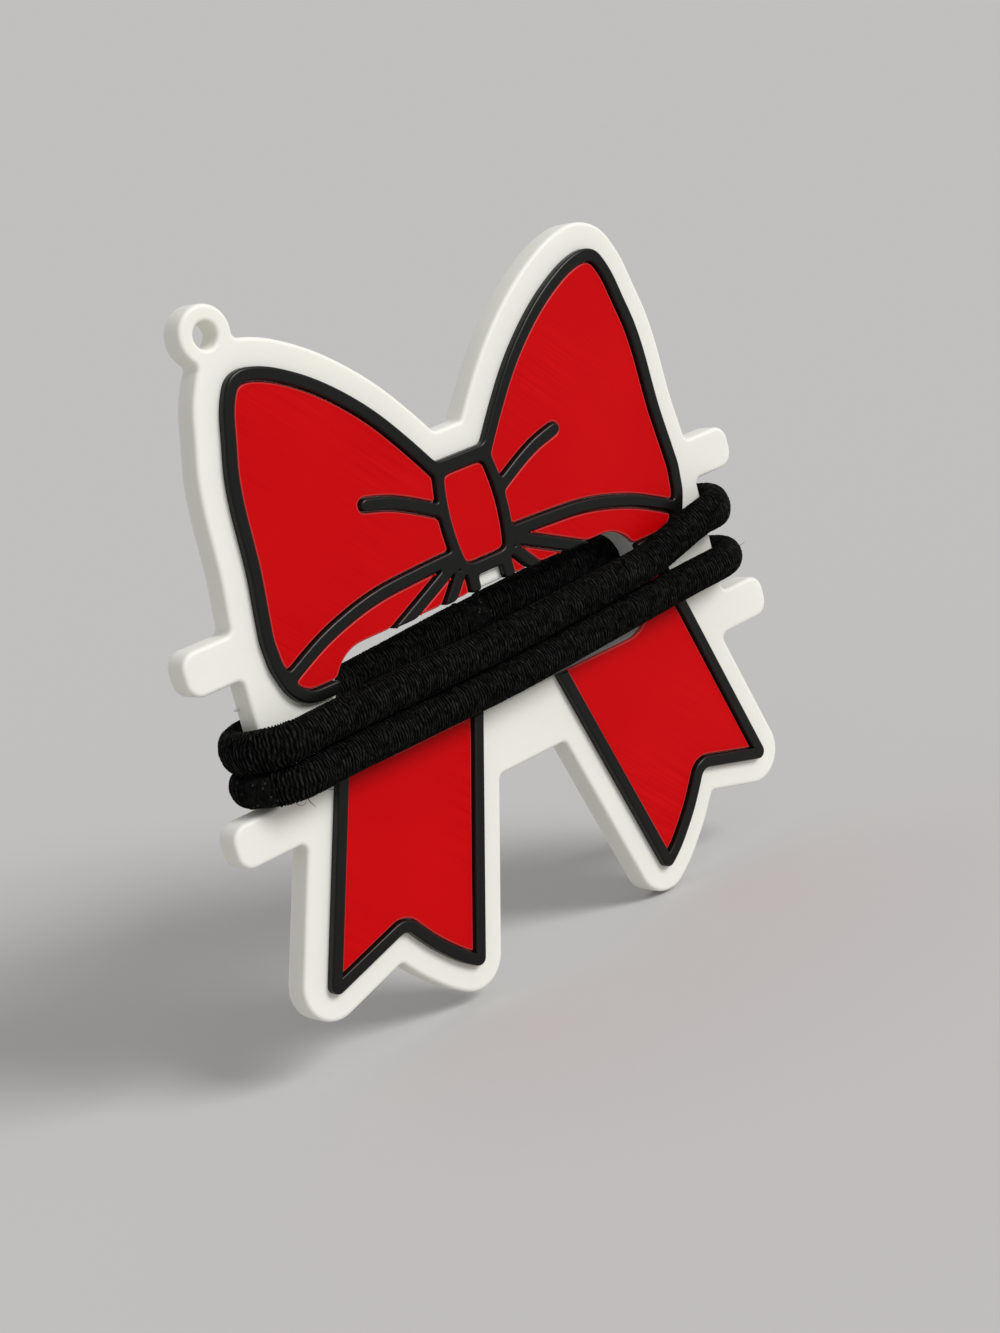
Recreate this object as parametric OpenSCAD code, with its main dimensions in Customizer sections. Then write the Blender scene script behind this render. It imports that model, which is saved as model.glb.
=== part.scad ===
// Hair tie holder: a flat ribbon bow with a waist slot, four prongs and a key-ring eye,
// carrying two elastic hair ties. Millimetres. +X right, +Z up, front face towards -Y.
// The origin is the middle of the key-ring hole.

/* [Plate] */
// Thickness of the white plate
plate_t = 3; // [2:0.1:4]
// White border left round the black lines
border_w = 3.2; // [2.6:0.1:4]
// Rounding of the plate's front edge
edge_r = 0.6; // [0.2:0.1:0.8]
// Rounding of the inner corners of the outline
fillet_r = 0.8; // [0.4:0.1:1.2]
// Height of the plate's web below the slot, between the ribbon tails
web_h = 8.3; // [6:0.1:10]

/* [Slot] */
// Width of the slot
slot_w = 48.3; // [44:0.1:49]
// Height of the slot
slot_h = 13.5; // [12:0.1:15]
// Corner radius of the slot
slot_r = 5; // [3:0.1:6]
// Sideways place of the slot's middle
slot_x = -0.8; // [-1:0.1:1]

/* [Prongs] */
// How far a prong stands out from the waist
prong_l = 6.9; // [5:0.1:9]
// Height of a prong
prong_h = 5.2; // [4.4:0.1:6]
// Corner radius of a prong's tip
prong_r = 2; // [1:0.1:2.2]
// Clear height between the upper and the lower prongs
prong_gap = 14.8; // [14.4:0.1:16]
// Height of the prong gap's middle above the slot's middle
prong_z = 0.8; // [0.6:0.1:1.2]

/* [Key-ring eye] */
// Diameter of the key-ring hole
hole_d = 3; // [2.4:0.1:3.6]
// Width of the ring of plate round the hole
ring_w = 1.9; // [1.6:0.1:2.6]
// Distance of the hole from the bow's middle line
eye_x = 28.5; // [26:0.1:30]
// Height of the hole above the slot's upper edge
eye_z = 37.9; // [37:0.1:38.6]

/* [Bow] */
// Half width of the bow
loop_w = 32.9; // [32:0.1:34]
// Height of the loops above the slot's upper edge
loop_h = 33.4; // [32:0.1:35]
// How far the loops hang below the slot's upper edge
loop_drop = 4.2; // [3.6:0.1:4.8]
// Width of the knot's red panel
knot_w = 7.4; // [6.6:0.1:8]
// Height of the knot's red panel
knot_h = 10.9; // [10:0.1:12]
// Height of the knot's red panel above the slot's upper edge
knot_z = 3.4; // [3:0.1:4]
// Corner radius of the knot's red panel
knot_r = 1.6; // [1:0.1:2.4]

/* [Ribbon tails] */
// Length of a tail from the slot's lower edge to the sharp corner of its tip
tail_l = 29.6; // [27:0.1:32]
// Width of a tail across
tail_w = 23.3; // [21:0.1:24]
// Distance of a tail's top from the bow's middle line
tail_x = 5.9; // [5:0.1:6.6]
// Lean of the tails outwards, in degrees
tail_lean = 17.3; // [14:0.1:20]
// Height of the notch above the tail's tip
notch_h = 10; // [8:0.1:11]
// Distance of the notch from the tail's tip, sideways
notch_x = 9.8; // [8:0.1:12]
// How much higher a tail's outer corner is than its tip
corner_h = 7; // [6:0.1:8]
// Corner radius of the tails' black lines
tail_r = 1; // [0.5:0.1:1.5]
// How much shorter the left tail is
left_short = 1.1; // [0:0.1:2]
// How much wider the left tail is at its outer corner
left_flare = 1.5; // [0:0.1:2.5]
// How much further out the left tail's tip is
left_lean = 0.9; // [0:0.1:1.5]

/* [Relief] */
// Height of the black lines above the plate
line_h = 1; // [0.8:0.1:1.2]
// Height of the red panels above the plate
panel_h = 0.5; // [0.3:0.1:0.7]
// Width of the black lines round the bow and tails
line_w = 1.5; // [1.2:0.1:2]
// Width of the crease and pleat lines
crease_w = 1.5; // [1.2:0.1:1.8]
// Width of the black line round the knot
knot_line = 1.35; // [1.1:0.05:1.6]
// Gap between a red panel and the black line beside it
seam = 0.1; // [0.05:0.05:0.2]

/* [Hair ties] */
// Thickness of a hair tie
tie_d = 4.2; // [3.8:0.1:4.2]
// Clearance between a hair tie and what it lies on
tie_gap = 0.3; // [0.25:0.05:0.4]
// Slack of a hair tie past the waist
tie_slack = 1.35; // [1.3:0.05:2]
// Length of the bonded joint of a hair tie
bond_l = 4; // [3:0.5:8]

/* [Hidden] */
$fn = 40;

// Heights in the drawing are measured from the middle of the slot
slot_top = slot_h / 2;
slot_bottom = -slot_h / 2;
eye = [-eye_x, slot_top + eye_z];
waist = loop_w + border_w;
gap_top = prong_z + prong_gap / 2;
gap_bottom = prong_z - prong_gap / 2;
front = -plate_t / 2;
back = plate_t / 2;
layer_h = 0.2;
past = 1;
sliver = 0.15;

// Right half of the bow's outer edge, as shares of the loop's width and height:
// over the loop, down its side and round its foot to the slot
loop_edge = [
  [0.112, 0.48], [0.199, 0.593], [0.302, 0.713], [0.415, 0.817], [0.535, 0.904], [0.660, 0.97],
  [0.750, 0.998], [0.805, 1.0], [0.851, 0.98], [0.878, 0.94], [0.903, 0.883], [0.926, 0.793],
  [0.952, 0.69], [0.965, 0.58], [0.969, 0.47], [0.974, 0.36], [0.988, 0.24], [1.0, 0.135]
];
// The foot, as shares of the loop's width and of its drop below the slot's upper edge
foot_edge = [[0.992, -0.3], [0.962, 0.35], [0.930, 0.7], [0.893, 0.9], [0.850, 0.985], [0.790, 1.0]];

// Middle lines of the creases and pleats on the right half, from the knot's line outwards, as
// shares of the way to the loop's side, and upwards from the slot's upper edge, as shares of
// the loop's height in the first and of the knot's height above the slot in the others
loop_crease = [[-0.014, 0.314], [0.122, 0.371], [0.237, 0.410], [0.355, 0.434]];
under_crease = [
  [-0.03, 1.44], [0.07, 1.43], [0.215, 1.38], [0.36, 1.31], [0.485, 1.16],
  [0.61, 0.91], [0.72, 0.62], [0.825, 0.25], [0.935, -0.18]
];
pleat_outer = [[-0.03, 1.3], [0.165, 0.575], [0.395, -0.28]];
pleat_inner = [[-0.03, 0.88], [0.02, 0.41], [0.085, -0.18]];
// White patch under the knot, and the black lines beside it
patch_w = 3.8;
patch_h = 1.8;
patch_r = 0.7;
patch_line = 1.6;
// Bulge of the knot's sides
barrel_r = 23;
// Sag of a tail's end between its tip and the notch, as shares of the way across and up
tail_sag = [[0, 0], [0.3, 0.2], [0.61, 0.5], [0.81, 0.74], [1, 1]];
notch_r = 1.5;

// The hair ties run round the waist: along the front, round one side, back along the rear
tie_front = front - line_h - tie_gap - tie_d / 2;
tie_rear = back + tie_gap + tie_d / 2;
tie_turn = (tie_rear - tie_front) / 2;
tie_half = waist + tie_slack + tie_d / 2 - tie_turn;
tie_around = 4 * tie_half + 2 * PI * tie_turn;
tie_sides = 12;
tie_rings = 84;
bond_rings = 4;
// Play under the lower tie and over the upper tie's raised end
low_play = 0.55;
high_play = 1.2;
// Rise of the lower tie from left to right, and of the upper tie before its raised end
low_rise = 1.9;
high_rise = 2.2;
low_left = gap_bottom + tie_d / 2 + low_play;
high_left = low_left + tie_d + tie_gap;
high_right = gap_top - tie_d / 2 - high_play;
// Middle of each tie's bonded joint, as a way round from the left end of the front strand
low_bond = -0.5 * PI * tie_turn + 1.5;
high_bond = 3 * tie_half + PI * tie_turn;

function point_at(p, i) = p[max(0, min(len(p) - 1, i))];
function curve_at(p, i, t) =
  let (a = point_at(p, i - 1), b = point_at(p, i), c = point_at(p, i + 1), d = point_at(p, i + 2))
  0.5 * (2 * b + (c - a) * t + (2 * a - 5 * b + 4 * c - d) * t * t + (3 * b - a - 3 * c + d) * t * t * t);
// A smooth curve through the points p, with n steps to each stretch
function curve(p, n = 3) =
  [for (i = [0 : len(p) - 2]) for (k = [0 : n - 1]) curve_at(p, i, k / n), p[len(p) - 1]];
// The points p scaled by a pair of sizes, then moved
function placed(p, by, at) = [for (q = p) [q[0] * by[0] + at[0], q[1] * by[1] + at[1]]];
function unit(v) = v / norm(v);
// The sideways direction of the line p at its point i
function beside(p, i) = let (t = unit(point_at(p, i + 1) - point_at(p, i - 1))) [-t[1], t[0]];
function reversed(p) = [for (i = [len(p) - 1 : -1 : 0]) p[i]];
// A rise from 0 to 1 that starts and ends level
function ease(t) = let (u = max(0, min(1, t))) u * u * (3 - 2 * u);
// How far the rounded front edge has drawn in at a height above its start
function edge_inset(rise) = edge_r - sqrt(edge_r * edge_r - rise * rise);
function tail_at(depth) = tail_x + depth * tan(tail_lean);

// Creases and pleats in the drawing's own place
crease_at = [knot_w / 2 + knot_line, slot_top];
crease_run = loop_w - crease_at[0];
loop_crease_line = curve(placed(loop_crease, [crease_run, loop_h], crease_at));
under_crease_line = curve(placed(under_crease, [crease_run, knot_z], crease_at));
pleat_outer_line = placed(pleat_outer, [crease_run, knot_z], crease_at);
pleat_inner_line = placed(pleat_inner, [crease_run, knot_z], crease_at);

// A line of constant width with a round end, drawn along the points p
module stroke(p, width) {
  n = [for (i = [0 : len(p) - 1]) beside(p, i) * width / 2];
  polygon(concat(
    [for (i = [0 : len(p) - 1]) p[i] + n[i]],
    [for (i = [len(p) - 1 : -1 : 0]) p[i] - n[i]]
  ));
  translate(p[len(p) - 1]) circle(d = width, $fn = 24);
}
// A drawing and its mirror image
module both_sides() {
  children();
  mirror([1, 0]) children();
}
// The drawing of one side, the left being the right one's mirror image
module side(left) {
  mirror([left ? 1 : 0, 0]) children();
}
// A rectangle with round corners about its own middle
module rounded(size, r) {
  square([size[0] - 2 * r, size[1]], center = true);
  square([size[0], size[1] - 2 * r], center = true);
  for (x = [-1, 1]) {
    for (y = [-1, 1]) {
      translate([x * (size[0] / 2 - r), y * (size[1] / 2 - r)]) circle(r = r);
    }
  }
}
// A drawing without its thinnest slivers, nowhere standing out from where it was
module tidied() {
  intersection() {
    offset(r = 2 * sliver, $fn = 8) children();
    offset(delta = sliver) offset(delta = -sliver) children();
  }
}
// The drawing stood upright and given a thickness, its back face at y = at
module slab(at, thick) {
  translate([eye_x, at, -eye[1]]) rotate([90, 0, 0]) linear_extrude(thick) children();
}

module slot_area(wider = 0) {
  translate([slot_x, 0]) rounded([slot_w + 2 * wider, slot_h + 2 * wider], slot_r + wider);
}
module loop_area() {
  edge = curve(placed(loop_edge, [loop_w, loop_h], [0, slot_top]));
  foot = curve(placed(foot_edge, [loop_w, -loop_drop], [0, slot_top]));
  polygon(concat([[0, slot_top + loop_h * loop_edge[0][1]]], edge, foot, [[0, slot_top - loop_drop]]));
}
module bow_area() {
  both_sides() loop_area();
}
// The knot's bulged panel, as an intersection of two large circles with its rounded block
module knot_area() {
  translate([0, slot_top + knot_z + knot_h / 2]) intersection() {
    rounded([knot_w, knot_h], knot_r);
    translate([knot_w / 2 - barrel_r, 0]) circle(r = barrel_r, $fn = 160);
    translate([barrel_r - knot_w / 2, 0]) circle(r = barrel_r, $fn = 160);
  }
}
module patch_area() {
  translate([0, slot_top - patch_r]) intersection() {
    rounded([patch_w, 2 * (patch_h + patch_r)], patch_r);
    translate([-patch_w, 0]) square([2 * patch_w, 2 * patch_h]);
  }
}
module bow_lines() {
  tidied() difference() {
    union() {
      both_sides() {
        difference() {
          loop_area();
          offset(delta = -line_w) loop_area();
        }
        stroke(loop_crease_line, crease_w);
        stroke(under_crease_line, line_w);
        stroke(pleat_outer_line, crease_w);
        stroke(pleat_inner_line, crease_w);
        translate([patch_w / 2, slot_top - past]) square([patch_line, knot_z + past]);
      }
      intersection() {
        offset(r = knot_line) knot_area();
        bow_area();
      }
      translate([-patch_w / 2 - patch_line, slot_top + patch_h]) square([patch_w + 2 * patch_line, knot_z]);
    }
    knot_area();
    patch_area();
    slot_area();
  }
}
// One ribbon tail, drawn on the right, its top tucked behind the bow's foot. The left one
// is a little shorter at its tip and wider at its outer corner.
module tail_area(left) {
  top = slot_h - loop_drop + line_w;
  shift = left ? left_lean : 0;
  length = tail_l - (left ? left_short : 0);
  flare = left ? left_flare : 0;
  tip = [tail_at(length) + shift, slot_bottom - length];
  notch = [tail_at(tail_l) + notch_x, slot_bottom - tail_l + notch_h];
  corner = [tail_at(tail_l - corner_h) + tail_w + flare * 0.8, slot_bottom - tail_l + corner_h - flare * 0.3];
  shoulder = [tail_at(0) + tail_w - flare * 0.5, slot_bottom];
  lean = (corner - shoulder) / (shoulder[1] - corner[1]);
  offset(r = -notch_r) offset(r = notch_r + tail_r) offset(delta = -tail_r) polygon(concat(
    [[tail_at(-top) + shift / 4, slot_bottom + top]],
    curve(placed(tail_sag, notch - tip, tip)),
    [corner],
    [shoulder - lean * top]
  ));
}
module tail_lines(left) {
  tidied() difference() {
    side(left) tail_area(left);
    side(left) offset(delta = -line_w) tail_area(left);
    bow_area();
    slot_area();
  }
}
// The plate's outline, without its slot and hole
module plate_area() {
  offset(r = -fillet_r) offset(delta = fillet_r) union() {
    offset(delta = border_w) bow_area();
    for (left = [false, true]) side(left) offset(delta = border_w) tail_area(left);
    translate([-waist, gap_bottom - prong_h / 2]) square([2 * waist, prong_gap + prong_h]);
    translate([-tail_x, slot_bottom - web_h]) square([2 * tail_x, web_h]);
    for (s = [-1, 1]) {
      translate([0, prong_z + s * (prong_gap + prong_h) / 2]) rounded([2 * (waist + prong_l), prong_h], prong_r);
    }
    translate(eye) circle(d = hole_d + 2 * ring_w);
  }
}
// What is left of one side's drawing between the black lines
module between_lines(left) {
  tidied() offset(delta = -seam) difference() {
    side(left) children();
    bow_lines();
    patch_area();
    slot_area();
  }
}

module base_plate() {
  steps = ceil(edge_r / layer_h);
  step = edge_r / steps;
  color("#e9e8e0") difference() {
    union() {
      slab(back, plate_t - edge_r) plate_area();
      for (k = [0 : steps - 1]) {
        slab(front + edge_r - k * step, step) offset(delta = -edge_inset((k + 0.5) * step)) plate_area();
      }
    }
    slab(back + past, plate_t + 2 * past) slot_area();
    for (k = [0 : steps - 1]) {
      slab(front + edge_r - k * step, edge_r + past) slot_area(edge_inset((k + 0.5) * step));
    }
    translate([0, back + past, 0]) rotate([90, 0, 0]) cylinder(d = hole_d, h = plate_t + 2 * past);
  }
}
module bow_outline() {
  color("#141414") slab(front, line_h) bow_lines();
}
module tail_outline(left) {
  color("#141414") slab(front, line_h) tail_lines(left);
}
module red_panel() {
  color("#c40d10") slab(front, panel_h) children();
}
module knot_panel() {
  red_panel() offset(delta = -seam) knot_area();
}
// The loop's panel, above the under crease
module loop_panel(left) {
  inner = crease_at[0] - knot_line / 2;
  red_panel() between_lines(left) intersection() {
    offset(delta = -line_w / 2) loop_area();
    polygon(concat(
      [[inner, slot_top + loop_h], [inner, under_crease_line[0][1]]],
      under_crease_line,
      [[waist, slot_top - loop_drop], [waist, slot_top + loop_h + past]]
    ));
  }
}
// The ribbon's under side, seen between the under crease and the outer pleat
module underfold_panel(left) {
  red_panel() between_lines(left) intersection() {
    offset(delta = -line_w / 2) loop_area();
    polygon(concat(
      reversed(pleat_outer_line),
      under_crease_line,
      [[waist, slot_top - loop_drop - past], [slot_w / 3, slot_top - loop_drop - past]]
    ));
  }
}
module outer_gusset(left) {
  red_panel() between_lines(left) polygon(concat(pleat_inner_line, reversed(pleat_outer_line)));
}
module inner_gusset(left) {
  edge = patch_w / 2 + patch_line / 2;
  red_panel() between_lines(left) polygon(concat(
    [[edge, slot_top - past], [edge, pleat_inner_line[0][1]]],
    pleat_inner_line
  ));
}
module tail_panel(left) {
  red_panel() tidied() difference() {
    side(left) offset(delta = -line_w - seam) tail_area(left);
    offset(delta = seam) bow_area();
    slot_area();
  }
}

// The place on a tie's way round, seen from above, at the distance s from the left end of
// its front strand
function tie_turned(x, a) = [x * (tie_half + tie_turn * sin(a)), (tie_front + tie_rear) / 2 - tie_turn * cos(a)];
function tie_at(s) =
  let (run = 2 * tie_half, bend = PI * tie_turn, u = (s % tie_around + tie_around) % tie_around)
  u < run ? [u - tie_half, tie_front]
  : u < run + bend ? tie_turned(1, (u - run) / bend * 180)
  : u < 2 * run + bend ? [tie_half + run + bend - u, tie_rear]
  : tie_turned(-1, 180 - (u - 2 * run - bend) / bend * 180);
function low_height(x) = low_left + low_rise * ease(0.2 + 0.7 * x / tie_half);
function high_height(x) =
  high_left + high_rise * (x + tie_half) / (2 * tie_half)
  + (high_right - high_left - high_rise) * ease((x / tie_half - 0.51) / 0.54);
function tie_point(s, high) =
  let (p = tie_at(s)) [p[0], p[1], high ? high_height(p[0]) : low_height(p[0])];
// A round cord along a stretch of a tie's way round, from the distance a to the distance b
module cord(a, b, rings, high) {
  points = [for (i = [0 : rings]) tie_point(a + (b - a) * i / rings, high)];
  ring = [for (i = [0 : rings]) let (
    s = a + (b - a) * i / rings,
    along = unit(tie_point(s + 0.05, high) - tie_point(s - 0.05, high)),
    out = unit(cross(along, [0, 0, 1])),
    up = cross(out, along)
  ) for (k = [0 : tie_sides - 1]) let (t = 360 * k / tie_sides)
    points[i] + tie_d / 2 * (out * cos(t) + up * sin(t))];
  n = tie_sides;
  translate([eye_x, 0, -eye[1]]) polyhedron(ring, concat(
    [[for (k = [0 : n - 1]) k]],
    [for (i = [0 : rings - 1]) for (k = [0 : n - 1]) let (j = (k + 1) % n)
      [i * n + j, i * n + k, (i + 1) * n + k, (i + 1) * n + j]],
    [[for (k = [n - 1 : -1 : 0]) rings * n + k]]
  ));
}
module hair_tie(bond, high) {
  color("#1c1c1e") cord(bond + bond_l / 2, bond + tie_around - bond_l / 2, tie_rings, high);
}
module tie_bond(bond, high) {
  color("#232325") cord(bond - bond_l / 2, bond + bond_l / 2, bond_rings, high);
}

base_plate();
bow_outline();
tail_outline(true);  // left_tail_outline
tail_outline(false);  // right_tail_outline
loop_panel(true);  // left_loop_panel
loop_panel(false);  // right_loop_panel
knot_panel();
underfold_panel(true);  // left_underfold_panel
underfold_panel(false);  // right_underfold_panel
outer_gusset(true);  // left_outer_gusset
outer_gusset(false);  // right_outer_gusset
inner_gusset(true);  // left_inner_gusset
inner_gusset(false);  // right_inner_gusset
tail_panel(true);  // left_tail_panel
tail_panel(false);  // right_tail_panel
hair_tie(high_bond, true);  // upper_hair_tie
tie_bond(high_bond, true);  // upper_tie_bond
hair_tie(low_bond, false);  // lower_hair_tie
tie_bond(low_bond, false);  // lower_tie_bond
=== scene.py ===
"""Dresses the hair tie holder: a bow-shaped plate printed in three colours, with two elastic
hair ties stretched round its waist. Metres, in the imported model's own frame: +X right,
+Z up, the relief facing -Y, the origin in the middle of the key-ring hole."""

import bisect
import math

import bmesh
import bpy
from mathutils import Matrix, Vector


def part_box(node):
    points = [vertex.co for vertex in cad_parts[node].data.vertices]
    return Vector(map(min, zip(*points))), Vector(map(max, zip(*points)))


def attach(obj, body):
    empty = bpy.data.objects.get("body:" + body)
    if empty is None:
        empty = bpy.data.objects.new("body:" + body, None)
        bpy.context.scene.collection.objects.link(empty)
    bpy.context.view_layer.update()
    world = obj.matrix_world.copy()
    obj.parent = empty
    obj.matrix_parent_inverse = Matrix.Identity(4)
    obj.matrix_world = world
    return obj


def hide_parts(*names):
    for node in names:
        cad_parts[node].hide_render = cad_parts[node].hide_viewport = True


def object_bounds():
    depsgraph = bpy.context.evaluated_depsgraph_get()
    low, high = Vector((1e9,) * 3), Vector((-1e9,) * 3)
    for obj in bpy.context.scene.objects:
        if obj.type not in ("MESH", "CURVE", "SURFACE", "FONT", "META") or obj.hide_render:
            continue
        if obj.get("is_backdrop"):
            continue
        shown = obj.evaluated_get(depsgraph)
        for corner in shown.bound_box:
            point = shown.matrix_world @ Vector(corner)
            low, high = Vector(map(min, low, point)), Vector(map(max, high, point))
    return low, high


bl_info = {
    "name": "Hair Tie Holder",
    "version": (1, 0, 0),
    "blender": (4, 5, 0),
    "location": "3D View > Sidebar > Holder",
    "description": "Dresses a printed bow-shaped hair tie holder with its elastic ties",
    "category": "Add Mesh",
}

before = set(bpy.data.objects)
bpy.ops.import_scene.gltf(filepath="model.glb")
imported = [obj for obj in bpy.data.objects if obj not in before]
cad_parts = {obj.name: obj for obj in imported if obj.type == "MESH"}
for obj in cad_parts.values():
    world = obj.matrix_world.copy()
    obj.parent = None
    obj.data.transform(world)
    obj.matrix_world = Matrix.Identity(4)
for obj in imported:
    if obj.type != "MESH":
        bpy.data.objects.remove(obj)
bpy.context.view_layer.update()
MM = 0.001

PLATE = "base_plate"
LINES = ("bow_outline", "left_tail_outline", "right_tail_outline")
PANELS = tuple(
    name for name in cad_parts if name.endswith("_panel") or name.endswith("_gusset")
)

# The bow's waist and the cord round it, in millimetres
WAIST = 36.1  # half the waist's width
TIE_D = 4.2  # the cord's thickness
TIE_GAP = 0.3  # between the two ties at their left ends
JOINT_L = 4.0  # length of a fused joint
HUG = 2.9  # how far before the waist's edge the cord starts to bend
EDGE_GAP = 1.95  # how far past the waist's edge its middle line reaches
PRESSED_FRONT = 0.15  # how much closer to the plate than its solid it runs at the front
PRESSED_REAR = 0.35  # the same at the rear

# The pressed cord's thickness as a share of its full one, and the shape of its rear bends:
# 1 is round and less is blunter
THIN_FRONT = 0.96
THIN_REAR = 0.87
THIN_ENDS = 0.82
BLUNT_REAR = 0.72

# Heights in millimetres: the slot's middle and, from there up, the ends of the ties
SLOT_Z = -44.65  # the slot's middle
LOW_LEFT = -3.72  # the lower tie's left end
HIGH_RIGHT = 4.6  # the upper tie's right end
LOW_RISE = 1.75  # how far the lower tie rises to the right
DIP = 0.3  # how far the left bends dip
SAG = 0.3  # how far the upper tie's rear strand sags at the right

# The pieces of each tie and its swell, which is how much of its pressing comes out upright.
# The lower tie rests close above the lower prongs, so it has none.
TIES = {
    "lower": {
        "tie": "lower_hair_tie", "bond": "lower_tie_bond", "body": "lower_tie", "swell": 0.0
    },
    "upper": {
        "tie": "upper_hair_tie", "bond": "upper_tie_bond", "body": "upper_tie", "swell": 1.0
    },
}

# Loose threads: the tie, the place along its front in millimetres from where the left bend
# ends, the angle round the cord from its front, the length and thickness in millimetres
# and how far it curls, in degrees
STRAYS = (
    ("lower", -2.6, -62, 2.0, 0.08, 200),
    ("lower", -1.4, -66, 1.3, 0.13, 40),
    ("lower", 0.9, -60, 2.3, 0.08, 300),
    ("lower", 2.2, -64, 1.6, 0.07, -190),
    ("lower", -1.8, 58, 1.8, 0.06, 60),
    ("lower", 21.0, -66, 1.4, 0.07, 160),
    ("lower", 69.6, 30, 0.8, 0.07, 80),
    ("upper", 14.0, 74, 1.0, 0.07, -120),
    ("upper", 46.0, 66, 0.9, 0.07, 150),
)
THREAD_SIDES = 3

# Beads of white plastic left on the rear edges: middles and half sizes in millimetres
BEADS = (
    ((-7.75, 1.15, -39.9), (0.5, 0.26, 0.2)),
    ((-11.1, 1.15, -31.5), (0.3, 0.25, 0.28)),
)

# How the printed plastics differ: how rough and how glossy they are, how wide their nozzle
# lines look beside a printed line, how deep their relief is and how clearly the lines show
PLASTICS = {
    "white_plastic": {
        "roughness": 0.45, "gloss": 0.3, "spread": 1.0, "depth": 0.0015 * MM, "marked": 0.1
    },
    "black_plastic": {
        "roughness": 0.3, "gloss": 0.24, "spread": 1.0, "depth": 0.006 * MM, "marked": 0.5
    },
    "red_plastic": {
        "roughness": 0.36, "gloss": 0.06, "spread": 1.4, "depth": 0.008 * MM, "marked": 1.0
    },
}

# The camera's place, and the ways to the right, down and ahead in its picture
CAMERA_AT = Vector((-147.5, -226.9, 24.0)) * MM
CAMERA_RIGHT = Vector((0.72638, -0.64078, -0.24853))
CAMERA_DOWN = Vector((-0.34674, -0.02945, -0.93750))
CAMERA_AHEAD = Vector((0.59341, 0.76716, -0.24358))
# Where the key light comes from: the front, above and a little to the right
KEY_FROM = Vector((0.33, -0.74, 0.52)).normalized()
# The floor's half width, and how far below the holder it lies
FLOOR_SIZE = 3.0
FLOOR_GAP = 0.3 * MM


class Value:
    """A number inside a node tree, which takes Python's arithmetic."""

    def __init__(self, graph, socket):
        self.graph = graph
        self.socket = socket

    def math(self, operation, *others):
        """This number and up to two more put through one Math node."""
        return self.graph.math(operation, self, *others)

    def __add__(self, other):
        return self.graph.math("ADD", self, other)

    def __sub__(self, other):
        return self.graph.math("SUBTRACT", self, other)

    def __rsub__(self, other):
        return self.graph.math("SUBTRACT", other, self)

    def __mul__(self, other):
        return self.graph.math("MULTIPLY", self, other)

    def __truediv__(self, other):
        return self.graph.math("DIVIDE", self, other)

    def __neg__(self):
        return self.graph.math("MULTIPLY", self, -1.0)

    def clamped(self):
        """This number held between 0 and 1."""
        return self.graph.math("MAXIMUM", self.graph.math("MINIMUM", self, 1.0), 0.0)

    def ramp(self, start, end):
        """A straight rise from 0 where this number is start to 1 where it is end."""
        return ((self - start) / (end - start)).clamped()

    def wave(self):
        """A smooth wave from 0 to 1, one for each unit of this number."""
        return self.graph.math("COSINE", self * math.tau) * 0.5 + 0.5


class Graph:
    """Adds nodes to a material's or a geometry tree."""

    def __init__(self, tree):
        self.tree = tree

    def node(self, kind, settings=None, inputs=None):
        """A node of a kind, with its settings made first and then its sockets fed."""
        made = self.tree.nodes.new(kind)
        for name, value in (settings or {}).items():
            setattr(made, name, value)
        for key, value in (inputs or {}).items():
            self.feed(made.inputs[key], value)
        return made

    def feed(self, socket, value):
        """Links a number or a socket to a socket, or sets its plain value."""
        if isinstance(value, Value):
            value = value.socket
        if isinstance(value, bpy.types.NodeSocket):
            self.tree.links.new(value, socket)
        else:
            socket.default_value = value

    def value(self, kind, settings=None, inputs=None, output=0):
        """One output of a new node, as a number to calculate with."""
        return Value(self, self.node(kind, settings, inputs).outputs[output])

    def math(self, operation, *values):
        """A Math node on values or plain numbers."""
        return self.value("ShaderNodeMath", {"operation": operation}, dict(enumerate(values)))

    def mixed(self, share, first, second):
        """A colour between two colours, which go into the Mix node's sockets for colours."""
        made = self.node(
            "ShaderNodeMix", {"data_type": "RGBA"}, {"Factor": share, 6: first, 7: second}
        )
        return made.outputs[2]


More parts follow.
